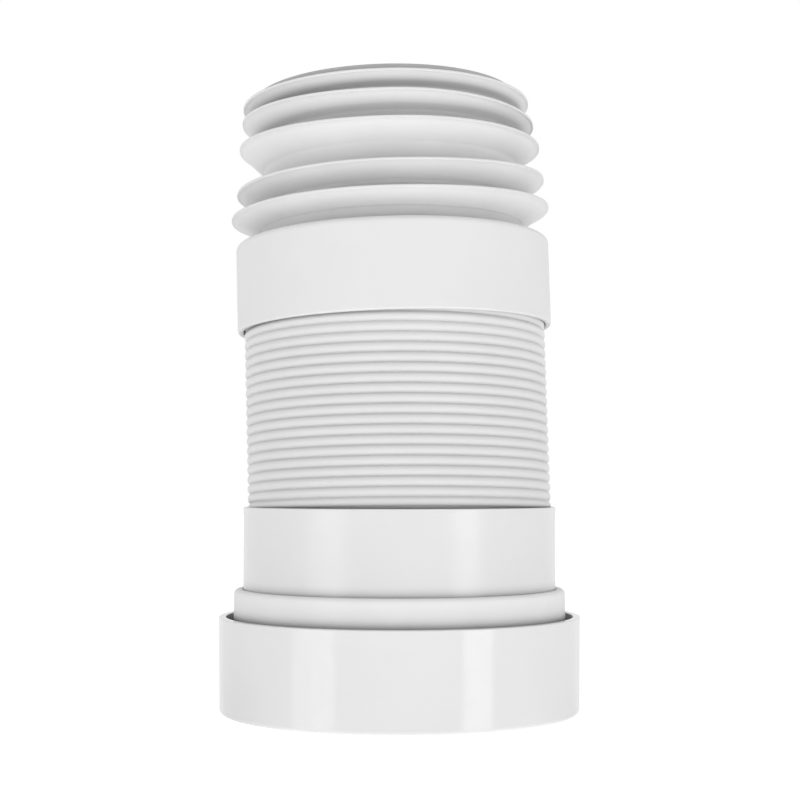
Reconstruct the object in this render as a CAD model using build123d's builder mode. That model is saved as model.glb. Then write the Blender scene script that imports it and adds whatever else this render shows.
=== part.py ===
"""Toilet pan connector: a finned outlet plug, an extending hose and a sealed pan socket.

All sizes are in millimetres. +Z is up, and the origin is the centre of the cap's underside.
The hose and the outlet stand a little out of true, as a free-standing hose does. They share
one leaned section plane, whose own origin is the centre of the inlet collar's mouth.
"""

import os
from math import radians, sin, sqrt

from build123d import *

# Fits between neighbouring pieces
slip_gap = 0.3
seal_gap = 0.1

# Hose, pushed together: round crests outside, the folds of the film inside
hose_crest = 52.7
groove_depth = 0.9
crest_pitch = 3.32
crest_count = 19
crest_wall = 1.6
fold_depth = 3.6
cuff_wall = 1.8
cuff_length = 9.0
hose_start = -1.3

# Lean of the hose and the outlet, in degrees
lean_left = 1.6
lean_back = 2.0

# Inlet collar: a thin mouth around the hose, a stop shoulder and the pan socket
mouth_height = 70.2
mouth_wall = 1.2
socket_wall = 2.8
stop_step = 3.4
stop_thickness = 2.5
foot_clearance = 5.0

# Inlet seal: a ring around the collar and a lip that reaches in under its foot
ring_wall = 3.1
ring_top = 42.1
ring_chamfer = 2.0
lip_reach = 4.9
lip_land = 3.0

# Seal cap: a wall that stands clear of the ring and narrows to its foot, and a floor that reaches in
ring_room = 2.6
cap_height = 32.7
cap_wall = 2.6
cap_draft = 0.4
cap_floor = 3.0
floor_reach = 5.5
cap_corner = 1.4

# Outlet collar, measured along the leaned axis
outlet_wall = 2.0
outlet_height = 30.6
shoulder_radius = 2.0
plate_thickness = 3.0
spigot_wall = 2.2

# Fin seal, lowest fin first: reach of each rim from the core, its height above the collar, and
# the slope of its underside
neck_step = 8.6
core_wall = 2.9
fin_reaches = [9.6, 7.9, 6.7, 5.2, 4.7]
fin_heights = [9.6, 18.9, 33.1, 42.8, 49.0]
fin_slopes = [0.33, 0.42, 0.64, 0.65, 0.65]
fin_rim = 1.5
fin_root = 3.0
nose_rise = 3.3

# Sizes that follow from those above
hose_root = hose_crest - groove_depth
hose_valley = hose_crest - crest_wall
hose_fold = hose_valley - fold_depth
cuff_bore = hose_root - cuff_wall
lean = sqrt(lean_left**2 + lean_back**2)
mouth_bore = hose_crest + slip_gap
inlet_radius = mouth_bore + mouth_wall
cuff_end = hose_start - cuff_length
stop_top = mouth_height + cuff_end - hose_root * sin(radians(lean)) - slip_gap
socket_bore = inlet_radius - socket_wall
stop_bore = socket_bore - stop_step
seal_floor = cap_floor + seal_gap
foot_height = seal_floor + foot_clearance
seal_bore = inlet_radius + seal_gap
ring_radius = seal_bore + ring_wall
lip_radius = socket_bore - lip_reach
cap_bore = ring_radius + ring_room
cap_radius = cap_bore + cap_wall
cap_mouth = cap_bore - floor_reach
hose_end = hose_start + crest_count * crest_pitch
outlet_mouth = hose_end + seal_gap
outlet_top = outlet_mouth + outlet_height
plate_base = outlet_top - plate_thickness
outlet_bore = hose_crest + slip_gap
outlet_radius = outlet_bore + outlet_wall
core_radius = outlet_radius - neck_step
core_bore = core_radius - core_wall
spigot_radius = core_bore - seal_gap
spigot_bore = spigot_radius - spigot_wall
seal_base = outlet_top + seal_gap
nose_height = fin_heights[-1] + nose_rise

# Section planes: the base pieces are upright, the hose and the outlet lean
hose_plane = Plane(origin=(0, 0, mouth_height), x_dir=(1, 0, 0), z_dir=(0, -1, 0))
hose_plane = hose_plane.rotated((-lean_back, -lean_left, 0))
hose_axis = Axis(hose_plane.origin, hose_plane.y_dir)

# Seal cap: a cup with an open top and an inward floor
with BuildPart() as seal_cap:
    with BuildSketch(Plane.XZ):
        with BuildLine():
            Polyline(
                (cap_mouth, 0),
                (cap_radius - cap_draft, 0),
                (cap_radius, cap_height),
                (cap_bore, cap_height),
                (cap_bore, cap_floor),
                (cap_mouth, cap_floor),
                close=True,
            )
        make_face()
    revolve(axis=Axis.Z)
    fillet(seal_cap.edges().group_by(Axis.Z)[0].sort_by(SortBy.LENGTH)[-1], cap_corner)

# Inlet seal: base flange in the cap, step ring around the collar, lip under its foot
with BuildPart() as inlet_seal:
    with BuildSketch(Plane.XZ):
        with BuildLine():
            Polyline(
                (lip_radius, seal_floor),
                (cap_bore - seal_gap, seal_floor),
                (cap_bore - seal_gap, foot_height),
                (ring_radius, foot_height),
                (ring_radius, ring_top - ring_chamfer),
                (ring_radius - ring_chamfer, ring_top),
                (seal_bore, ring_top),
                (seal_bore, foot_height - seal_gap),
                (socket_bore, foot_height - seal_gap),
                (lip_radius, seal_floor + lip_land),
                close=True,
            )
        make_face()
    revolve(axis=Axis.Z)

# Inlet collar: hose seat above the stop shoulder, pan socket below it
with BuildPart() as inlet_collar:
    with BuildSketch(Plane.XZ):
        with BuildLine():
            Polyline(
                (socket_bore, foot_height),
                (inlet_radius, foot_height),
                (inlet_radius, mouth_height),
                (mouth_bore, mouth_height),
                (mouth_bore, stop_top),
                (stop_bore, stop_top),
                (stop_bore, stop_top - stop_thickness),
                (socket_bore, stop_top - stop_thickness),
                close=True,
            )
        make_face()
    revolve(axis=Axis.Z)

# Hose: flat-topped crests outside and deeper folds inside, between two plain cuffs
crest_bases = [hose_start + index * crest_pitch for index in range(crest_count)]
crest_points = []
for base in crest_bases:
    crest_points += [
        (hose_root, base),
        (hose_crest, base + groove_depth),
        (hose_crest, base + crest_pitch - groove_depth),
    ]
fold_points = []
for base in reversed(crest_bases[1:]):
    fold_points += [(hose_fold, base), (hose_valley, base - crest_pitch / 2)]
with BuildPart() as corrugated_hose:
    with BuildSketch(hose_plane):
        with BuildLine():
            Polyline(
                (cuff_bore, cuff_end),
                (hose_root, cuff_end),
                *crest_points,
                (hose_root, hose_end),
                (hose_root, plate_base - slip_gap),
                (cuff_bore, plate_base - slip_gap),
                (cuff_bore, hose_end),
                *fold_points[:-1],
                (cuff_bore, hose_start),
                close=True,
            )
        make_face()
    revolve(axis=hose_axis)

# Outlet collar: cup with a rounded shoulder, and the spigot that carries the fin seal
with BuildPart() as outlet_collar:
    with BuildSketch(hose_plane):
        with BuildLine():
            Polyline(
                (outlet_radius - shoulder_radius, outlet_top),
                (spigot_radius, outlet_top),
                (spigot_radius, outlet_top + nose_height - fin_rim),
                (spigot_bore, outlet_top + nose_height - fin_rim),
                (spigot_bore, plate_base),
                (outlet_bore, plate_base),
                (outlet_bore, outlet_mouth),
                (outlet_radius, outlet_mouth),
                (outlet_radius, outlet_top - shoulder_radius),
            )
            RadiusArc(
                (outlet_radius, outlet_top - shoulder_radius),
                (outlet_radius - shoulder_radius, outlet_top),
                -shoulder_radius,
            )
        make_face()
    revolve(axis=hose_axis)

# Fin seal: a tube with five fins, each thinner at its rim than at its root
fin_points = []
for fin_reach, fin_height, fin_slope in zip(fin_reaches, fin_heights, fin_slopes):
    rim_top = outlet_top + fin_height
    root_base = rim_top - fin_rim - fin_slope * fin_reach
    fin_points += [
        (core_radius, root_base),
        (core_radius + fin_reach, rim_top - fin_rim),
        (core_radius + fin_reach, rim_top),
        (core_radius, root_base + fin_root),
    ]
with BuildPart() as fin_seal:
    with BuildSketch(hose_plane):
        with BuildLine():
            Polyline(
                (core_bore, seal_base),
                (core_radius, seal_base),
                *fin_points,
                (core_radius, outlet_top + nose_height),
                (core_bore, outlet_top + nose_height),
                close=True,
            )
        make_face()
    revolve(axis=hose_axis)

# One STEP file for each piece
os.makedirs("parts", exist_ok=True)
seal_cap.part.label = "seal_cap"
inlet_seal.part.label = "inlet_seal"
inlet_collar.part.label = "inlet_collar"
corrugated_hose.part.label = "corrugated_hose"
outlet_collar.part.label = "outlet_collar"
fin_seal.part.label = "fin_seal"
export_step(seal_cap.part, "parts/seal_cap.step")
export_step(inlet_seal.part, "parts/inlet_seal.step")
export_step(inlet_collar.part, "parts/inlet_collar.step")
export_step(corrugated_hose.part, "parts/corrugated_hose.step")
export_step(outlet_collar.part, "parts/outlet_collar.step")
export_step(fin_seal.part, "parts/fin_seal.step")
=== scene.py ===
"""Looks of a white toilet pan connector: seal cap and pan socket, folded hose, finned outlet plug.

Each piece is a surface of revolution, worked out as whole numpy arrays from a closed outline in
millimetres and put into its mesh in metres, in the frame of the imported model. The pan socket
stands on the Z axis. The hose and the outlet plug turn about one leaned axis through the centre
of the socket's mouth. A row of an outline is a radius from that axis and a height along it.
"""

from __future__ import annotations

import logging
import math
from dataclasses import dataclass
from enum import Enum

import bpy
import numpy as np
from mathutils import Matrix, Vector

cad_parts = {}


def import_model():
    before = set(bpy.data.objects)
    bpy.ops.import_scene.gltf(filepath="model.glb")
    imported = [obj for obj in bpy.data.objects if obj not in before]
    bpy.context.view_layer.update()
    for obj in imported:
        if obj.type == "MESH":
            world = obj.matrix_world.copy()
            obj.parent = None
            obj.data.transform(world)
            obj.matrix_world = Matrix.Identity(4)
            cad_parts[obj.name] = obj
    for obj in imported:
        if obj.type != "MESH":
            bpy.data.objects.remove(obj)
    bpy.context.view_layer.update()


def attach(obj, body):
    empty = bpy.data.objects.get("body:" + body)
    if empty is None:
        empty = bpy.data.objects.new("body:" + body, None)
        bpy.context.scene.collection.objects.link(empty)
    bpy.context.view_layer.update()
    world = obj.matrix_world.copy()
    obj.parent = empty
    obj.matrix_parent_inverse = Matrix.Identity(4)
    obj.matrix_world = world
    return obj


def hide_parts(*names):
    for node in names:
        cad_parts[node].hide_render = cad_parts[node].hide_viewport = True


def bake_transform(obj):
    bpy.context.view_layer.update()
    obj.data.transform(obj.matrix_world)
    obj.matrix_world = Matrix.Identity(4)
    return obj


LOG = logging.getLogger("pan_connector")
METRE = 0.001
WHITE = (1.0, 1.0, 1.0, 1.0)
Triple = tuple[float, float, float]

# Support points of an outline: millimetres beside an arc at most, and share of what is left of the edge
SUPPORT_STEP = 0.25
SUPPORT_SHARE = 0.2

# Sockets of a colour Mix node
MIX_FACTOR = 0
MIX_FIRST = 6
MIX_SECOND = 7
MIX_RESULT = 2

# Search for near walls for the painted shade in creases: shares of open sky on an open wall and deep in a
# crease
OPEN_SKY = 0.95
DEEP_SKY = 0.25
SKY_SAMPLES = 8

# The middle of a noise, where most of its values lie
NOISE_LOW = 0.3
NOISE_HIGH = 0.7

# Mesh attribute of painted shade on the fin seal: how deep a point lies between the fins
PAINTED_SHADE_MARK = "painted_shade"

PLASTIC_IOR = 1.5


class Body(Enum):
    """The two bodies that the sliding hose joins."""

    INLET = "inlet_end"
    OUTLET = "outlet_end"


class Slot(Enum):
    """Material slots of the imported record."""

    CAP = "seal_cap"
    INLET_COLLAR = "inlet_collar"
    INLET_SEAL = "inlet_seal"
    HOSE = "corrugated_hose"
    OUTLET_COLLAR = "outlet_collar"
    FIN_SEAL = "fin_seal"


@dataclass(frozen=True)
class Axle:
    """A line to turn an outline about, in millimetres.

    Args:
        origin: a point on the line, where height is 0.
        lean_left: tilt towards -X, in degrees.
        lean_back: tilt towards +Y, in degrees.
    """

    origin: Triple = (0.0, 0.0, 0.0)
    lean_left: float = 0.0
    lean_back: float = 0.0

    def frame(self) -> np.ndarray:
        """The line leans back, and the upright rest of it leans left.

        Returns:
            Three unit rows: across to +X, across to +Y, and along the line.
        """
        left, back = math.radians(self.lean_left), math.radians(self.lean_back)
        upright = math.cos(back)
        along = np.array([-upright * math.sin(left), math.sin(back), upright * math.cos(left)])
        across = np.array([1.0, 0.0, 0.0]) - along[0] * along
        across /= np.linalg.norm(across)
        return np.stack([across, np.cross(along, across), along])

    def place(self, radius: np.ndarray, height: np.ndarray, angle: np.ndarray) -> np.ndarray:
        """Point = origin + radius (cos angle across + sin angle sideways) + height along.

        Args:
            radius: distances from the line.
            height: distances along the line.
            angle: turns about the line, in radians.

        Returns:
            The points in metres, with one more axis than the inputs.
        """
        across, sideways, along = self.frame()
        spoke = np.cos(angle)[..., None] * across + np.sin(angle)[..., None] * sideways
        point = np.array(self.origin) + radius[..., None] * spoke + height[..., None] * along
        return point * METRE


@dataclass(frozen=True)
class Corner:
    """A corner of an outline: distance from the axle, height, and the radius that rounds it."""

    radius: float
    height: float
    rounding: float


def rounded_outline(corners: list[Corner], steps: int) -> np.ndarray:
    """A closed polygon whose corners are arcs, with a support point beside each arc.

    The arc of a corner touches both edges at rounding / tan(half the angle), and its centre lies on
    the bisector at rounding / sin(half the angle). The support points keep the flats flat in shading.

    Args:
        corners: the polygon's corners in order.
        steps: points on each arc.

    Returns:
        An array of (radius, height) rows.
    """
    points = np.array([(corner.radius, corner.height) for corner in corners])
    before = np.roll(points, 1, axis=0) - points
    after = np.roll(points, -1, axis=0) - points
    before_length = np.linalg.norm(before, axis=1, keepdims=True)
    after_length = np.linalg.norm(after, axis=1, keepdims=True)
    before, after = before / before_length, after / after_length
    half = np.arccos(np.clip((before * after).sum(1, keepdims=True), -1.0, 1.0)) / 2
    size = np.array([[corner.rounding] for corner in corners])
    reach = size / np.tan(half)
    bisector = before + after
    centre = points + bisector / np.linalg.norm(bisector, axis=1, keepdims=True) * size / np.sin(half)
    start, end = points + before * reach - centre, points + after * reach - centre
    share = np.linspace(0.0, 1.0, steps)[None, :, None]
    sweep = (math.pi - 2 * half)[:, None, :]
    weight_start = np.sin((1 - share) * sweep) / np.sin(sweep)
    weight_end = np.sin(share * sweep) / np.sin(sweep)
    arcs = centre[:, None, :] + weight_start * start[:, None, :] + weight_end * end[:, None, :]
    lead = points + before * (reach + np.minimum(SUPPORT_STEP, SUPPORT_SHARE * (before_length - reach)))
    tail = points + after * (reach + np.minimum(SUPPORT_STEP, SUPPORT_SHARE * (after_length - reach)))
    return np.concatenate([lead[:, None, :], arcs, tail[:, None, :]], axis=1).reshape(-1, 2)


def bezier(start: tuple, first: tuple, second: tuple, end: tuple, count: int) -> np.ndarray:
    """Cubic curve: the four points weighted by (1-s)^3, 3s(1-s)^2, 3s^2(1-s) and s^3.

    Args:
        start: where it begins.
        first: what it leaves towards.
        second: what it arrives from.
        end: where it stops.
        count: points along it.

    Returns:
        An array of count rows of (radius, height).
    """
    share = np.linspace(0.0, 1.0, count)[:, None]
    rest = 1 - share
    curve = rest**3 * np.array(start) + 3 * share * rest**2 * np.array(first)
    return curve + 3 * share**2 * rest * np.array(second) + share**3 * np.array(end)


def turn_angles(turns: int) -> np.ndarray:
    """The angles of equal steps once round an axle, in radians."""
    return np.arange(turns) * (2 * math.pi / turns)


def turned_piece(name: str, axle: Axle, radius: np.ndarray, height: np.ndarray) -> bpy.types.Object:
    """A closed outline carried round an axle, with faces outwards and no seam.

    Args:
        name: the object's name.
        axle: the line that it turns about.
        radius: millimetres, one row for each point of the outline and one column for each turn step.
        height: the same for the heights along the axle.

    Returns:
        The new object, at the origin with its place in its mesh.
    """
    rows, columns = radius.shape
    angle = np.broadcast_to(turn_angles(columns), radius.shape)
    points = axle.place(radius, height, angle).reshape(-1, 3)
    index = np.arange(rows * columns).reshape(rows, columns)
    up, on = np.roll(index, -1, axis=0), np.roll(index, -1, axis=1)
    both = np.roll(up, -1, axis=1)
    loop = radius[:, 0] * np.roll(height[:, 0], -1) - np.roll(radius[:, 0], -1) * height[:, 0]
    order = (index, on, both, up) if loop.sum() > 0 else (index, up, both, on)
    mesh = bpy.data.meshes.new(name)
    mesh.from_pydata(points, [], np.stack(order, axis=-1).reshape(-1, 4))
    mesh.polygons.foreach_set("use_smooth", np.ones(rows * columns, bool))
    mesh.update()
    piece = bpy.data.objects.new(name, mesh)
    bpy.context.scene.collection.objects.link(piece)
    return piece


def turned_outline(name: str, axle: Axle, outline: np.ndarray, turns: int) -> bpy.types.Object:
    """A piece that is truly round: the same outline at every turn step.

    Args:
        name: the object's name.
        axle: the line that it turns about.
        outline: its (radius, height) rows.
        turns: steps once round.

    Returns:
        The new object.
    """
    radius = np.repeat(outline[:, :1], turns, axis=1)
    height = np.repeat(outline[:, 1:], turns, axis=1)
    return turned_piece(name, axle, radius, height)


@dataclass(frozen=True)
class Cloud:
    """A noise: cells in a metre, octaves, and the scale of each coordinate before it."""

    scale: float
    detail: float = 2.0
    stretch: Triple = (1.0, 1.0, 1.0)


MOTTLE_CLOUD = Cloud(55.0, detail=3.0)
SHEEN_CLOUD = Cloud(260.0)
DRAW_LINES = Cloud(420.0, stretch=(1.0, 1.0, 0.03))


class NodeSheet:
    """A node tree, with short calls to add and join its nodes."""

    def __init__(self, tree: bpy.types.NodeTree) -> None:
        """Takes the tree to work on."""
        self.tree = tree

    def add(self, kind: str, **values: object) -> bpy.types.Node:
        """Adds a node.

        Args:
            kind: the node's type, without its ShaderNode prefix.
            values: input sockets by name, with _ for a space, or settings of the node itself.

        Returns:
            The new node.
        """
        node = self.tree.nodes.new("ShaderNode" + kind)
        for name, value in values.items():
            if hasattr(node, name):
                setattr(node, name, value)
            else:
                node.inputs[name.replace("_", " ")].default_value = value
        return node

    def join(self, source: bpy.types.NodeSocket, target: bpy.types.NodeSocket) -> None:
        """Links one socket to another."""
        self.tree.links.new(source, target)

    def smooth_step(
        self, source: bpy.types.NodeSocket, span: tuple[float, float], levels: tuple[float, float]
    ) -> bpy.types.NodeSocket:
        """A smooth step of a value.

        Args:
            source: the value.
            span: where the step begins and ends.
            levels: the result up to its beginning and from its end.

        Returns:
            The socket with the result.
        """
        node = self.add("MapRange", interpolation_type="SMOOTHSTEP", From_Min=span[0], From_Max=span[1])
        node.inputs["To Min"].default_value, node.inputs["To Max"].default_value = levels
        self.join(source, node.inputs["Value"])
        return node.outputs["Result"]

    def seen_or_lighting(self, seen: float, lighting: bpy.types.NodeSocket) -> bpy.types.NodeSocket:
        """Tells rays of the camera, mirrors and glass from the light on the object.

        Args:
            seen: the value for rays of the camera, mirrors and glass.
            lighting: the value for all other rays.

        Returns:
            The socket that mixes the two by the greatest of the three kinds of ray.
        """
        path = self.add("LightPath")
        first = self.add("Math", operation="MAXIMUM")
        second = self.add("Math", operation="MAXIMUM")
        mixed = self.add("Mix", data_type="FLOAT")
        mixed.inputs["B"].default_value = seen
        self.join(path.outputs["Is Camera Ray"], first.inputs[0])
        self.join(path.outputs["Is Glossy Ray"], first.inputs[1])
        self.join(first.outputs[0], second.inputs[0])
        self.join(path.outputs["Is Transmission Ray"], second.inputs[1])
        self.join(second.outputs[0], mixed.inputs["Factor"])
        self.join(lighting, mixed.inputs["A"])
        return mixed.outputs["Result"]


class ShaderSheet(NodeSheet):
    """The node tree of one material."""

    def __init__(self, name: str) -> None:
        """Makes the material with its Principled shader."""
        self.material = bpy.data.materials.new(name)
        self.material.use_nodes = True
        super().__init__(self.material.node_tree)
        self.shader = self.tree.nodes["Principled BSDF"]

    def noise(self, cloud: Cloud) -> bpy.types.NodeSocket:
        """Cloud noise on Object coordinates.

        Args:
            cloud: its cells, octaves and stretch.

        Returns:
            The socket with values about 0.5.
        """
        coordinates = self.add("TexCoord")
        mapping = self.add("Mapping", Scale=cloud.stretch)
        noise = self.add("TexNoise", Scale=cloud.scale, Detail=cloud.detail)
        self.join(coordinates.outputs["Object"], mapping.inputs["Vector"])
        self.join(mapping.outputs["Vector"], noise.inputs["Vector"])
        return noise.outputs["Fac"]

    def ranged_noise(self, cloud: Cloud, low: float, high: float) -> bpy.types.NodeSocket:
        """Spreads the middle of a noise over a range.

        Args:
            cloud: the noise.
            low: the least result.
            high: the greatest result.

        Returns:
            The socket with the result.
        """
        node = self.add("MapRange", From_Min=NOISE_LOW, From_Max=NOISE_HIGH, To_Min=low, To_Max=high)
        self.join(self.noise(cloud), node.inputs["Value"])
        return node.outputs["Result"]

    def height_fade(self, none: float, full: float) -> bpy.types.NodeSocket:
        """A value that grows evenly with height.

        Args:
            none: the height where it is 0, in metres.
            full: the height where it is 1, in metres.

        Returns:
            The socket with the value.
        """
        place = self.add("TexCoord")
        parts = self.add("SeparateXYZ")
        fade = self.add("MapRange", From_Min=none, From_Max=full)
        self.join(place.outputs["Object"], parts.inputs["Vector"])
        self.join(parts.outputs["Z"], fade.inputs["Value"])
        return fade.outputs["Result"]

    def creases(self, reach: float, fade: bpy.types.NodeSocket) -> bpy.types.NodeSocket:
        """How far a point lies in a crease or gap, by the share of open sky over it, as the mask of painted
        shade.

        Args:
            reach: how far the neighbouring walls count, in metres.
            fade: how much creases count, 0 to 1.

        Returns:
            The socket: 0 on open walls, and 1 deep between walls.
        """
        sky = self.add("AmbientOcclusion", samples=SKY_SAMPLES, Distance=reach)
        depth = self.add("MapRange", From_Min=OPEN_SKY, From_Max=DEEP_SKY)
        both = self.add("Math", operation="MULTIPLY")
        self.join(sky.outputs["AO"], depth.inputs["Value"])
        self.join(depth.outputs["Result"], both.inputs[0])
        self.join(fade, both.inputs[1])
        return both.outputs[0]


@dataclass(frozen=True)
class Finish:
    """A moulded white plastic or rubber.

    Args:
        name: the material's name.
        colour: middle colour, linear.
        mottle: share by which broad clouds lighten and darken it.
        roughness: middle roughness.
        rough_spread: how far fine clouds vary it.
        grain: cells of the surface grain in a metre.
        grain_depth: depth of the grain, in metres.
        draw_depth: depth of faint lines along the draw of the mould, in metres.
        crease: share of the colour that is left deep in a crease, as painted shade.
        crease_reach: how far the walls of a crease count for the painted shade, in metres.
        crease_none: height at which the painted shade stops, in metres.
        crease_full: height from which it counts in full.
        crease_mark: mesh attribute that marks where shade is painted, in place of a search for near walls.
    """

    name: str
    colour: Triple
    mottle: float
    roughness: float
    rough_spread: float
    grain: float
    grain_depth: float
    draw_depth: float = 0.0
    crease: float = 1.0
    crease_reach: float = 0.005
    crease_none: float = 0.004
    crease_full: float = 0.014
    crease_mark: str = ""

    def tint(self, share: float) -> tuple[float, float, float, float]:
        """The colour made lighter or darker by a share, with full alpha."""
        red, green, blue = (min(1.0, channel * (1 + share)) for channel in self.colour)
        return (red, green, blue, 1.0)

    def crease_shade_depth(self, sheet: ShaderSheet) -> bpy.types.NodeSocket:
        """How much painted shade a point gets in a crease, by its mark or by a search for near walls.

        Args:
            sheet: the material's nodes.

        Returns:
            The socket with the depth, 0 to 1.
        """
        if self.crease_mark:
            return sheet.add("Attribute", attribute_name=self.crease_mark).outputs["Fac"]
        return sheet.creases(self.crease_reach, sheet.height_fade(self.crease_none, self.crease_full))

    def material(self) -> bpy.types.Material:
        """Builds the material: clouded colour with painted shade in creases, clouded roughness, and grain
        and draw lines as bump.

        Returns:
            The new material.
        """
        sheet = ShaderSheet(self.name)
        colour = sheet.add("Mix", data_type="RGBA")
        colour.inputs[MIX_FIRST].default_value = self.tint(-self.mottle)
        colour.inputs[MIX_SECOND].default_value = self.tint(self.mottle)
        sheet.join(sheet.ranged_noise(MOTTLE_CLOUD, 0.0, 1.0), colour.inputs[MIX_FACTOR])
        # Painted shade: the colour is multiplied towards crease where a point lies deep in a crease or gap.
        shade = sheet.add("Mix", data_type="RGBA", blend_type="MULTIPLY")
        shade.inputs[MIX_SECOND].default_value = (self.crease, self.crease, self.crease, 1.0)
        sheet.join(colour.outputs[MIX_RESULT], shade.inputs[MIX_FIRST])
        sheet.join(self.crease_shade_depth(sheet), shade.inputs[MIX_FACTOR])
        sheet.join(shade.outputs[MIX_RESULT], sheet.shader.inputs["Base Color"])
        low, high = self.roughness - self.rough_spread, self.roughness + self.rough_spread
        sheet.join(sheet.ranged_noise(SHEEN_CLOUD, low, high), sheet.shader.inputs["Roughness"])
        bump = sheet.add("Bump", Strength=1.0, Distance=self.grain_depth)
        sheet.join(sheet.noise(Cloud(self.grain)), bump.inputs["Height"])
        if self.draw_depth > 0:
            lines = sheet.add("Bump", Strength=1.0, Distance=self.draw_depth)
            sheet.join(sheet.noise(DRAW_LINES), lines.inputs["Height"])
            sheet.join(lines.outputs["Normal"], bump.inputs["Normal"])
        sheet.join(bump.outputs["Normal"], sheet.shader.inputs["Normal"])
        sheet.shader.inputs["IOR"].default_value = PLASTIC_IOR
        return sheet.material


# The crease values of each finish darken its colour in creases and gaps: painted shade.
CAP_GLOSS = Finish(
    name="cap_gloss",
    colour=(0.78, 0.78, 0.78),
    mottle=0.010,
    roughness=0.15,
    rough_spread=0.03,
    grain=900.0,
    grain_depth=4.0e-6,
    draw_depth=1.2e-6,
    crease=0.75,
    crease_reach=0.005,
)
COLLAR_GLOSS = Finish(
    name="collar_gloss",
    colour=(0.75, 0.75, 0.75),
    mottle=0.010,
    roughness=0.24,
    rough_spread=0.03,
    grain=900.0,
    grain_depth=4.0e-6,
    draw_depth=1.2e-6,
    crease=0.3,
    crease_reach=0.0035,
)
OUTLET_SATIN = Finish(
    name="outlet_satin",
    colour=(0.745, 0.745, 0.745),
    mottle=0.012,
    roughness=0.46,
    rough_spread=0.05,
    grain=1500.0,
    grain_depth=1.2e-5,
    draw_depth=2.0e-6,
    crease=0.7,
    crease_reach=0.006,
)
HOSE_FILM = Finish(
    name="hose_film",
    colour=(0.715, 0.715, 0.715),
    mottle=0.015,
    roughness=0.40,
    rough_spread=0.06,
    grain=700.0,
    grain_depth=1.5e-5,
    crease=0.42,
    crease_reach=0.0035,
    crease_none=0.138,
    crease_full=0.122,
)
# The fin rubber takes its painted shade from the mark on the fin seal.
FIN_RUBBER = Finish(
    name="fin_rubber",
    colour=(0.785, 0.785, 0.785),
    mottle=0.020,
    roughness=0.58,
    rough_spread=0.07,
    grain=1700.0,
    grain_depth=2.0e-5,
    crease=0.62,
    crease_mark=PAINTED_SHADE_MARK,
)
RING_RUBBER = Finish(
    name="ring_rubber",
    colour=(0.85, 0.85, 0.85),
    mottle=0.020,
    roughness=0.52,
    rough_spread=0.07,
    grain=1700.0,
    grain_depth=1.5e-5,
    crease=0.12,
    crease_reach=0.005,
    crease_none=0.0362,
    crease_full=0.0328,
)


def dressed(piece: bpy.types.Object, material: bpy.types.Material, slot: Slot) -> bpy.types.Object:
    """Gives a piece its material, and hides the CAD node that it stands for.

    Args:
        piece: the piece.
        material: its finish.
        slot: the slot, which has the name of the node.

    Returns:
        The same piece.
    """
    piece.data.materials.append(material)
    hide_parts(slot.value)
    return piece


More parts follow.
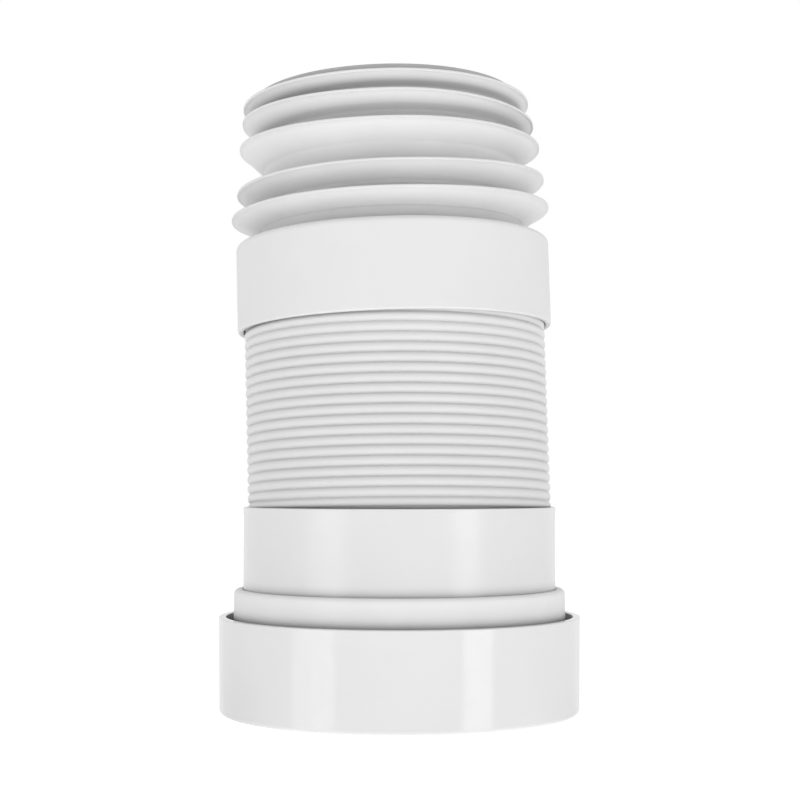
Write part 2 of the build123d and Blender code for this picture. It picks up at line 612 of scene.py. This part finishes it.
@dataclass
class PanSocket:
    """Seal cap, inlet seal and inlet collar: the end that goes over the pan's spigot."""

    axle: Axle = Axle()
    turns: int = 320
    cap_radius: float = 62.6
    cap_bore: float = 60.0
    cap_mouth: float = 54.5
    cap_height: float = 32.7
    cap_draft: float = 0.4
    cap_floor: float = 3.0
    cap_arc: int = 10
    ring_radius: float = 57.4
    ring_bore: float = 54.3
    ring_top: float = 42.1
    ring_arc: int = 9
    lip_radius: float = 46.5
    lip_land: float = 3.0
    foot_height: float = 8.1
    collar_radius: float = 54.2
    collar_arc: int = 7
    mouth_bore: float = 53.0
    mouth_height: float = 70.2
    stop_bore: float = 48.0
    stop_top: float = 57.28
    stop_thickness: float = 2.5
    socket_bore: float = 51.4
    gap: float = 0.1

    def cap(self) -> bpy.types.Object:
        """The cup: a wall that narrows to its rounded foot, and an inward floor, open at the top.

        Returns:
            The new piece.
        """
        corners = [
            Corner(self.cap_mouth, 0.0, rounding=0.6),
            Corner(self.cap_radius - self.cap_draft, 0.0, rounding=1.4),
            Corner(self.cap_radius, self.cap_height, rounding=0.4),
            Corner(self.cap_bore, self.cap_height, rounding=0.3),
            Corner(self.cap_bore, self.cap_floor, rounding=0.8),
            Corner(self.cap_mouth, self.cap_floor, rounding=0.6),
        ]
        return turned_outline("cap_shell", self.axle, rounded_outline(corners, self.cap_arc), self.turns)

    def seal(self) -> bpy.types.Object:
        """The ring seal: a flange on the cap's floor, a soft ring round the collar, and a lip.

        Returns:
            The new piece.
        """
        floor = self.cap_floor + self.gap
        land = self.foot_height - self.gap
        corners = [
            Corner(self.lip_radius, floor, rounding=0.8),
            Corner(self.cap_bore - self.gap, floor, rounding=0.8),
            Corner(self.cap_bore - self.gap, self.foot_height, rounding=0.8),
            Corner(self.ring_radius, self.foot_height, rounding=1.2),
            Corner(self.ring_radius, self.ring_top, rounding=1.7),
            Corner(self.ring_bore, self.ring_top, rounding=0.4),
            Corner(self.ring_bore, land, rounding=0.3),
            Corner(self.socket_bore, land, rounding=0.5),
            Corner(self.lip_radius, floor + self.lip_land, rounding=1.0),
        ]
        return turned_outline("ring_seal", self.axle, rounded_outline(corners, self.ring_arc), self.turns)

    def collar(self) -> bpy.types.Object:
        """The collar: a thin mouth round the hose, a stop shoulder inside and the pan socket.

        Returns:
            The new piece.
        """
        stop_base = self.stop_top - self.stop_thickness
        corners = [
            Corner(self.socket_bore, self.foot_height, rounding=0.5),
            Corner(self.collar_radius, self.foot_height, rounding=0.6),
            Corner(self.collar_radius, self.mouth_height, rounding=0.4),
            Corner(self.mouth_bore, self.mouth_height, rounding=0.3),
            Corner(self.mouth_bore, self.stop_top, rounding=0.2),
            Corner(self.stop_bore, self.stop_top, rounding=0.4),
            Corner(self.stop_bore, stop_base, rounding=0.4),
            Corner(self.socket_bore, stop_base, rounding=0.6),
        ]
        return turned_outline("pan_collar", self.axle, rounded_outline(corners, self.collar_arc), self.turns)

    def build(self) -> list[bpy.types.Object]:
        """Makes and dresses the three pieces.

        Returns:
            The pieces, riding on the inlet end.
        """
        pieces = [
            dressed(self.cap(), CAP_GLOSS.material(), Slot.CAP),
            dressed(self.seal(), RING_RUBBER.material(), Slot.INLET_SEAL),
            dressed(self.collar(), COLLAR_GLOSS.material(), Slot.INLET_COLLAR),
        ]
        return [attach(piece, Body.INLET.value) for piece in pieces]


@dataclass
class FoldedHose:
    """The hose, pushed together: round beads outside, soft folds inside, a plain cuff at each end.

    Args:
        axle: the leaned line that it turns about.
        start: height where the first bead begins.
        hidden_beads: beads that go on up inside the outlet collar.
        bead_power: how full a bead is: 1 is a parabola, and less is fuller.
        settle: how far the rings tip up to the right, off square to the axle, in degrees.
        tip_back: how far they tip up to the front, in degrees.
        drop: how far they sit below their places on the axle.
        fade_low: length of the lower cuff over which these three fade out.
        fade_high: the same for the upper end.
    """

    axle: Axle
    turns: int = 240
    crest: float = 52.7
    groove_depth: float = 0.92
    pitch: float = 3.32
    beads: int = 19
    hidden_beads: int = 3
    bead_points: int = 11
    bead_power: float = 0.8
    start: float = -1.3
    cuff_end: float = -10.3
    cuff_top: float = 89.18
    cuff_bore: float = 50.0
    valley: float = 51.1
    fold: float = 47.5
    fold_points: int = 6
    settle: float = -1.15
    tip_back: float = 1.13
    drop: float = 0.82
    fade_low: float = 3.0
    fade_high: float = 6.0

    @property
    def end(self) -> float:
        """Height where the last bead in view ends."""
        return self.start + self.beads * self.pitch

    def outline(self) -> np.ndarray:
        """The closed section of the wall.

        Outside, a bead rises from the groove by groove_depth times (1 - |2s - 1|^2)^bead_power,
        with s running 0 to 1 along it. Inside, the folds swing between valley and fold as a cosine.

        Returns:
            An array of (radius, height) rows.
        """
        root = self.crest - self.groove_depth
        count = self.beads + self.hidden_beads
        share = (np.arange(self.bead_points) / self.bead_points)[None, :]
        bases = self.start + np.arange(count)[:, None] * self.pitch
        rise = np.power(1 - np.abs(2 * share - 1) ** 2, self.bead_power)
        swell = np.broadcast_to(root + self.groove_depth * rise, (count, self.bead_points))
        outside = np.stack([swell.ravel(), (bases + share * self.pitch).ravel()], axis=1)
        turn = np.arange(self.fold_points * (self.beads - 1))[::-1] / self.fold_points
        middle, half = (self.valley + self.fold) / 2, (self.valley - self.fold) / 2
        swing = middle + half * np.cos(2 * math.pi * turn)
        inside = np.stack([swing, self.start + (turn + 0.5) * self.pitch], axis=1)
        low = np.array([(self.cuff_bore, self.cuff_end), (root, self.cuff_end)])
        high = np.array(
            [
                (root, self.start + count * self.pitch),
                (root, self.cuff_top),
                (self.cuff_bore, self.cuff_top),
                (self.cuff_bore, self.end),
            ]
        )
        foot = np.array([(self.cuff_bore, self.start)])
        return np.concatenate([low, outside, high, inside, foot])

    def build(self) -> bpy.types.Object:
        """Makes the hose, whose rings lie a little off square to the leaned axle.

        Each point moves along the axle by its distance to the right times tan(settle), plus its
        distance to the front times tan(tip_back), less drop. That fades out over the cuffs, so that
        only the beads between the collars settle.

        Returns:
            The hose.
        """
        outline = self.outline()
        angle = turn_angles(self.turns)
        radius = np.repeat(outline[:, :1], self.turns, axis=1)
        height = np.repeat(outline[:, 1:], self.turns, axis=1)
        fade_in = np.clip((height - self.start + self.fade_low) / self.fade_low, 0, 1)
        fade_out = np.clip((self.end + self.fade_high - height) / self.fade_high, 0, 1)
        right, front = math.tan(math.radians(self.settle)), math.tan(math.radians(self.tip_back))
        tilt = right * np.cos(angle)[None, :] - front * np.sin(angle)[None, :]
        height = height + fade_in * fade_out * (radius * tilt - self.drop)
        piece = turned_piece("hose_wall", self.axle, radius, height)
        dressed(piece, HOSE_FILM.material(), Slot.HOSE)
        across, sideways, along = self.axle.frame()
        low = self.axle.place(np.zeros(1), np.array([self.start - self.drop]), np.zeros(1))[0]
        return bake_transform(piece)


@dataclass(frozen=True)
class Fin:
    """One sealing fin, whose soft rim stands a little out of true.

    Args:
        radius: distance of the rim from the axle.
        height: top of the rim above the collar's plate.
        slope: how far the root lies below the rim, for each millimetre outwards.
        fillet: depth of the fillet under the root.
        sway_left: how far the rim stands above its true height at the left.
        sway_right: the same at the right.
        shift: how far the rim stands to the right.
        core_shade: painted shade on the core under the fin, as how deep it lies in a crease, 0 to 1.
        root_shade: the same painted shade for the root of the underside.
    """

    radius: float
    height: float
    slope: float
    fillet: float
    sway_left: float = 0.0
    sway_right: float = 0.0
    shift: float = 0.0
    core_shade: float = 1.0
    root_shade: float = 0.0


LOWEST_FIN = Fin(radius=56.0, height=9.6, slope=0.33, fillet=0.3, sway_right=2.0, shift=-0.4)
SECOND_FIN = Fin(radius=54.3, height=18.9, slope=0.42, fillet=1.2, sway_left=-0.3, sway_right=2.6)
MIDDLE_FIN = Fin(
    radius=53.1, height=33.1, slope=0.64, fillet=1.2,
    sway_left=1.8, sway_right=-0.2, core_shade=0.4,
)
FOURTH_FIN = Fin(
    radius=51.6, height=42.8, slope=0.65, fillet=1.0,
    sway_left=1.5, sway_right=-2.0, shift=-0.35, root_shade=0.85,
)
TOP_FIN = Fin(
    radius=50.6, height=49.5, slope=0.52, fillet=0.8,
    sway_right=-0.5, shift=-0.9, root_shade=1.0,
)


@dataclass
class OutletPlug:
    """Outlet collar with its spigot, and the fin seal that is pushed over the spigot.

    Args:
        axle: the leaned line that both turn about.
        mouth: height of the collar's lower edge.
        top: height of the collar's plate, from which the heights of the fin seal count.
        gullet: radius of the tube between the fins.
        nose: height of the tube's end.
        nose_shift: how far the tube's end stands to the right.
        rim: thickness that a fin's root allows for its rim.
        lip: true thickness of the soft rim.
        root: thickness of a fin at its root.
        edge: how far the rounding of a rim reaches in.
        rim_shade: painted shade on a rim, 0 to 1, as a share of a deep crease.
        neck_shade: the same painted shade for the tube under the lowest fin.
    """

    axle: Axle
    turns: int = 288
    collar_radius: float = 55.0
    collar_bore: float = 53.0
    collar_arc: int = 12
    mouth: float = 61.88
    top: float = 92.48
    shoulder: float = 2.0
    plate: float = 3.0
    spigot_radius: float = 43.4
    spigot_bore: float = 41.2
    core_radius: float = 46.4
    core_bore: float = 43.5
    seat_gap: float = 0.1
    seat_chamfer: float = 0.2
    neck_support: float = 0.4
    gullet: float = 44.6
    gullet_curl: float = 0.5
    gullet_dip: float = 0.1
    gullet_lift: float = 0.6
    nose: float = 52.3
    nose_round: float = 0.9
    nose_middle: tuple[float, float] = (0.3, 0.25)
    nose_chamfer: float = 0.5
    nose_shift: float = -1.2
    rim: float = 1.5
    rim_points: int = 9
    lip: float = 1.0
    root: float = 3.0
    edge: float = 0.6
    fillet_run: float = 1.2
    fillet_points: int = 9
    under_points: int = 7
    top_straight: float = 0.6
    top_points: int = 10
    rim_shade: float = 0.22
    neck_shade: float = 0.75
    fins: tuple[Fin, ...] = (LOWEST_FIN, SECOND_FIN, MIDDLE_FIN, FOURTH_FIN, TOP_FIN)

    def collar(self) -> bpy.types.Object:
        """The collar: a cup over the hose with a rounded shoulder, and a spigot on its plate.

        Returns:
            The new piece.
        """
        base = self.top - self.plate
        end = self.top + self.nose - self.rim
        corners = [
            Corner(self.collar_radius, self.mouth, rounding=0.7),
            Corner(self.collar_radius, self.top, rounding=self.shoulder),
            Corner(self.spigot_radius, self.top, rounding=0.4),
            Corner(self.spigot_radius, end, rounding=0.5),
            Corner(self.spigot_bore, end, rounding=0.5),
            Corner(self.spigot_bore, base, rounding=0.6),
            Corner(self.collar_bore, base, rounding=0.6),
            Corner(self.collar_bore, self.mouth, rounding=0.5),
        ]
        return turned_outline("outlet_cup", self.axle, rounded_outline(corners, self.collar_arc), self.turns)

    def fin_outline(self, fin: Fin, foot: float) -> np.ndarray:
        """One fin, from its root underneath, round its rim and back to its root on top.

        The underside is a cone, with a cubic curve as the fillet at its root. The rim is a squarish
        half round, with the square roots of sine and cosine as its sides. The top is a shallower
        cubic curve.

        Args:
            fin: the fin.
            foot: radius of the core under the fin.

        Returns:
            An array of (radius, height) rows, heights above the collar's plate.
        """
        inner = (fin.radius - self.edge, fin.height - self.lip)
        span = inner[0] - foot
        root = (foot, fin.height - self.rim - fin.slope * span)
        slope = (inner[1] - root[1]) / span
        run = self.fillet_run * fin.fillet
        meet = (root[0] + run, root[1] + run * slope)
        fillet = bezier((root[0], root[1] - fin.fillet), root, root, meet, self.fillet_points)
        share = np.linspace(0.0, 1.0, self.under_points + 1)[1:, None]
        under = np.concatenate([fillet, (1 - share) * np.array(meet) + share * np.array(inner)])
        angle = np.linspace(-math.pi / 2, math.pi / 2, self.rim_points + 2)[1:-1]
        out = np.sqrt(np.abs(np.cos(angle)))
        up = np.sign(np.sin(angle)) * np.sqrt(np.abs(np.sin(angle)))
        middle = fin.height - self.lip / 2
        rim = np.stack([inner[0] + self.edge * out, middle + self.lip / 2 * up], axis=1)
        crown = root[1] + self.root
        brow = (inner[0], fin.height)
        above = bezier(
            brow,
            (brow[0] - self.top_straight * span, brow[1] - self.top_straight * (fin.height - crown)),
            (self.gullet + self.gullet_curl, crown - self.gullet_dip),
            (self.gullet, crown + self.gullet_lift),
            self.top_points,
        )
        return np.concatenate([under, rim, above])

    def fin_share(self, fin: Fin, row: np.ndarray) -> np.ndarray:
        """Share of the way from core to rim, 0 to 1, for each row of a fin's outline."""
        return np.clip((row[:, 0] - self.core_radius) / (fin.radius - self.core_radius), 0, 1)

    def fin_painted_shade(self, fin: Fin, row: np.ndarray, share: np.ndarray) -> np.ndarray:
        """Painted shade for each point of a fin's outline, 0 to 1: deep beside the core, faint on the rim.

        Args:
            fin: the fin.
            row: its outline, as (radius, height) rows.
            share: share of the way from core to rim, for each point.

        Returns:
            The fourth power of 1 - share, times root_shade underneath, with a run from core_shade
            to root_shade along the fillet, and rim_shade round the rim.
        """
        depth = (1 - share) ** 4
        depth[: int(np.argmax(share))] *= fin.root_shade
        depth[: self.fillet_points] = np.linspace(fin.core_shade, fin.root_shade, self.fillet_points)
        return depth + self.rim_shade * np.clip((row[:, 0] - fin.radius) / self.edge + 1, 0, 1)

    def neck_outline(self, fin_base: float) -> np.ndarray:
        """The foot of the tube, from its bore round a chamfer to a point under the lowest fin.

        Args:
            fin_base: height where the lowest fin begins.

        Returns:
            An array of (radius, height) rows, heights above the collar's plate.
        """
        return np.array(
            [
                (self.core_bore, self.seat_gap),
                (self.core_radius - self.seat_chamfer, self.seat_gap),
                (self.core_radius, self.seat_gap + self.seat_chamfer),
                (self.core_radius, fin_base - self.neck_support),
            ]
        )

    def nose_outline(self) -> np.ndarray:
        """The end of the tube: rounded outside, chamfered inside, and a point down its bore.

        Returns:
            An array of (radius, height) rows, heights above the collar's plate.
        """
        inward, down = self.nose_middle
        return np.array(
            [
                (self.core_radius, self.nose - self.nose_round),
                (self.core_radius - inward, self.nose - down),
                (self.core_radius - self.nose_round, self.nose),
                (self.core_bore + self.nose_chamfer, self.nose),
                (self.core_bore, self.nose - self.nose_chamfer),
                (self.core_bore, self.nose - self.rim),
            ]
        )

    def seal(self) -> bpy.types.Object:
        """The fin seal: a tube with five fins whose soft rims stand a little out of true.

        A point's sway is its fin's sway times its share of the way from core to rim, and fades with
        the square of the cosine of its turn from the left and right sides to the front and back. A
        shifted rim moves out and in by shift times that share and the cosine, and the end of the
        tube by nose_shift. A point attribute holds painted shade: dark where a point lies deep
        between the fins, and faint on the rims.

        Returns:
            The new piece.
        """
        feet = [self.core_radius] + [self.gullet] * (len(self.fins) - 1)
        rows = [self.fin_outline(fin, foot) for fin, foot in zip(self.fins, feet)]
        shares = [self.fin_share(fin, row) for fin, row in zip(self.fins, rows)]
        neck, nose = self.neck_outline(rows[0][0, 1]), self.nose_outline()
        turn = np.cos(turn_angles(self.turns))
        right, left = np.maximum(turn, 0) ** 2, np.maximum(-turn, 0) ** 2
        sways = [
            share[:, None] * (fin.sway_left * left + fin.sway_right * right)[None, :]
            for share, fin in zip(shares, self.fins)
        ]
        shifts = [share[:, None] * fin.shift * turn[None, :] for share, fin in zip(shares, self.fins)]
        neck_still, nose_still = np.zeros((len(neck), self.turns)), np.zeros((len(nose), self.turns))
        nose_moves = np.array([self.nose_shift] * (len(nose) - 1) + [0.0])[:, None] * turn[None, :]
        outline = np.concatenate([neck, *rows, nose])
        sway = np.concatenate([neck_still, *sways, nose_still])
        shift = np.concatenate([neck_still, *shifts, nose_moves])
        radius = np.repeat(outline[:, :1], self.turns, axis=1) + shift
        height = np.repeat(outline[:, 1:], self.turns, axis=1) + self.top + sway
        piece = turned_piece("finned_seal", self.axle, radius, height)
        # Painted shade between the fins and on the rims, kept as a point attribute for the fin rubber.
        fin_shades = [self.fin_painted_shade(fin, row, share) for fin, row, share in zip(self.fins, rows, shares)]
        deep = np.concatenate([np.full(len(neck), self.neck_shade), *fin_shades, np.ones(len(nose))])
        painted_shade = piece.data.attributes.new(PAINTED_SHADE_MARK, "FLOAT", "POINT")
        painted_shade.data.foreach_set("value", np.repeat(deep, self.turns).astype(np.float32))
        return piece

    def build(self) -> list[bpy.types.Object]:
        """Makes and dresses the two pieces.

        Returns:
            The pieces, riding on the outlet end.
        """
        pieces = [
            dressed(self.collar(), OUTLET_SATIN.material(), Slot.OUTLET_COLLAR),
            dressed(self.seal(), FIN_RUBBER.material(), Slot.FIN_SEAL),
        ]
        return [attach(piece, Body.OUTLET.value) for piece in pieces]


@dataclass(frozen=True)
class StripLamp:
    """A tall soft lamp beside the camera, seen from the object between two bearings.

    Args:
        name: the lamp's name.
        bearing: angle of its middle from the camera's side, to the right, in degrees.
        half_width: half of the angle that it covers, in degrees.
        brightness: its radiance, where 1 is white.
        distance: metres from the object's axis.
        low: height of its lower edge, in metres.
        high: height of its upper edge.
    """

    name: str
    bearing: float
    half_width: float
    brightness: float
    distance: float = 0.9
    low: float = -0.26
    high: float = 0.13

    def build(self) -> None:
        """Makes the lamp, facing the axis of the object; power is pi times radiance times area."""
        data = bpy.data.lights.new(self.name, "AREA")
        data.shape = "RECTANGLE"
        data.size = 2 * self.distance * math.tan(math.radians(self.half_width))
        data.size_y = self.high - self.low
        data.energy = self.brightness * math.pi * data.size * data.size_y
        lamp = bpy.data.objects.new(self.name, data)
        turn = math.radians(self.bearing)
        aim = Vector((-math.sin(turn), math.cos(turn), 0.0))
        lamp.location = -self.distance * aim + Vector((0.0, 0.0, (self.high + self.low) / 2))
        lamp.rotation_euler = aim.to_track_quat("-Z", "Y").to_euler()
        lamp.visible_camera = False
        bpy.context.scene.collection.objects.link(lamp)


@dataclass
class Studio:
    """White light table and surround, strip lamps and the camera, in metres.

    Args:
        ambient: light of the surround, where 1 is white.
        side_gain: how much stronger that is from the left and right.
        side_span: sideways share of a direction at which that starts to grow and is full.
        table_light: glow of the table in front of the object.
        table_dim: share of it that is left to the sides and behind.
        table_turn: bearing of the brightest part, in degrees from the right to the front.
        table_span: cosines of the angle off that bearing at which the glow starts to grow and is full.
        table_near: share of the glow that is left at the object.
        near_span: distances from the object over which that grows to 1.
        table_seen: glow of the table where the camera sees it.
        floor_half: half of the table's width.
        floor_lines: grid lines along each side of it.
        floor_drop: how far it lies under the object.
        focal_pixels: focal length of the photograph, in its pixels.
        picture_width: width of the photograph, in its pixels.
        pitch_up: how far the camera is tipped up, in degrees.
        clip: nearest and farthest distance that the camera sees.
    """

    ambient: float = 0.54
    side_gain: float = 1.60
    side_span: tuple[float, float] = (0.35, 0.95)
    table_light: float = 1.20
    table_dim: float = 0.38
    table_turn: float = 84.0
    table_span: tuple[float, float] = (0.20, 0.95)
    table_near: float = 0.58
    near_span: tuple[float, float] = (0.08, 0.40)
    table_seen: float = 0.70
    floor_half: float = 4.0
    floor_lines: int = 9
    floor_drop: float = 0.0002
    floor_white: float = 0.86
    floor_roughness: float = 0.9
    focal_pixels: float = 1628.0
    picture_width: float = 800.0
    sensor_width: float = 36.0
    camera_place: Triple = (0.0002, -0.570, 0.0775)
    pitch_up: float = 3.02
    clip: tuple[float, float] = (0.01, 20.0)
    lamps: tuple[StripLamp, ...] = (
        StripLamp("right_strip", bearing=47.8, half_width=9.4, brightness=3.5),
        StripLamp("left_strip", bearing=-46.5, half_width=7.5, brightness=2.7),
        StripLamp("left_soft_edge", bearing=-60.5, half_width=6.5, brightness=1.6),
    )

    def table_finish(self) -> bpy.types.Material:
        """The finish of the light table.

        Its glow goes by bearing from the object, from table_dim to 1 of table_light, times a smooth
        step from table_near to 1 outwards. It is even and weaker where the camera sees it, so that
        the object's shadow stays.

        Returns:
            The new material.
        """
        sheet = ShaderSheet("studio_floor")
        white = self.floor_white
        sheet.shader.inputs["Base Color"].default_value = (white, white, white, 1.0)
        sheet.shader.inputs["Roughness"].default_value = self.floor_roughness
        sheet.shader.inputs["Specular IOR Level"].default_value = 0.0
        sheet.shader.inputs["Emission Color"].default_value = WHITE
        place = sheet.add("TexCoord").outputs["Object"]
        turned = sheet.add("Mapping", Rotation=(0.0, 0.0, math.radians(self.table_turn)))
        bearing = sheet.add("VectorMath", operation="NORMALIZE")
        parts = sheet.add("SeparateXYZ")
        away = sheet.add("VectorMath", operation="LENGTH")
        both = sheet.add("Math", operation="MULTIPLY")
        sheet.join(place, turned.inputs["Vector"])
        sheet.join(turned.outputs["Vector"], bearing.inputs[0])
        sheet.join(bearing.outputs["Vector"], parts.inputs["Vector"])
        sheet.join(place, away.inputs[0])
        levels = (self.table_light * self.table_dim, self.table_light)
        sheet.join(sheet.smooth_step(parts.outputs["X"], self.table_span, levels), both.inputs[0])
        levels = (self.table_near, 1.0)
        sheet.join(sheet.smooth_step(away.outputs["Value"], self.near_span, levels), both.inputs[1])
        glow = sheet.seen_or_lighting(self.table_seen, both.outputs[0])
        sheet.join(glow, sheet.shader.inputs["Emission Strength"])
        return sheet.material

    def floor(self) -> None:
        """The light table: a wide flat square grid just under the object."""
        side = np.linspace(-self.floor_half, self.floor_half, self.floor_lines)
        x, y = np.meshgrid(side, side, indexing="ij")
        points = np.stack([x, y, np.full_like(x, -self.floor_drop)], axis=-1).reshape(-1, 3)
        index = np.arange(x.size).reshape(x.shape)
        quads = [index[:-1, :-1], index[1:, :-1], index[1:, 1:], index[:-1, 1:]]
        mesh = bpy.data.meshes.new("studio_floor")
        mesh.from_pydata(points, [], np.stack(quads, axis=-1).reshape(-1, 4))
        mesh.materials.append(self.table_finish())
        floor = bpy.data.objects.new("studio_floor", mesh)
        floor.visible_glossy = False
        bpy.context.scene.collection.objects.link(floor)

    def surround(self) -> None:
        """A white surround: strength 1 where it is seen, and ambient as light, more from the sides."""
        world = bpy.data.worlds.new("studio_surround")
        world.use_nodes = True
        sheet = NodeSheet(world.node_tree)
        background = sheet.tree.nodes["Background"]
        background.inputs["Color"].default_value = WHITE
        direction = sheet.add("TexCoord")
        parts = sheet.add("SeparateXYZ")
        sideways = sheet.add("Math", operation="ABSOLUTE")
        sheet.join(direction.outputs["Generated"], parts.inputs["Vector"])
        sheet.join(parts.outputs["X"], sideways.inputs[0])
        levels = (self.ambient, self.ambient * self.side_gain)
        light = sheet.smooth_step(sideways.outputs[0], self.side_span, levels)
        sheet.join(sheet.seen_or_lighting(1.0, light), background.inputs["Strength"])
        bpy.context.scene.world = world

    def camera(self) -> None:
        """The camera, low in front of the object and tipped up a little."""
        data = bpy.data.cameras.new("camera")
        data.sensor_width = self.sensor_width
        data.lens = self.focal_pixels / self.picture_width * self.sensor_width
        data.clip_start, data.clip_end = self.clip
        camera = bpy.data.objects.new("camera", data)
        camera.location = self.camera_place
        camera.rotation_euler = (math.radians(90.0 + self.pitch_up), 0.0, 0.0)
        bpy.context.scene.collection.objects.link(camera)
        bpy.context.scene.camera = camera

    def build(self) -> None:
        """Sets up the floor, surround, lamps, camera and view transform."""
        self.floor()
        self.surround()
        for lamp in self.lamps:
            lamp.build()
        self.camera()
        bpy.context.scene.view_settings.view_transform = "Standard"


def main() -> None:
    """Builds the pieces in order, then the studio, and reports each piece."""
    logging.basicConfig(level=logging.INFO, format="%(name)s: %(message)s")
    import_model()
    socket = PanSocket()
    leaned = Axle((0.0, 0.0, socket.mouth_height), lean_left=1.6, lean_back=2.0)
    pieces = [*socket.build(), FoldedHose(leaned).build(), *OutletPlug(leaned).build()]
    for piece in pieces:
        LOG.info("%s: %d vertices", piece.name, len(piece.data.vertices))
    Studio().build()


if __name__ == "__main__":
    main()
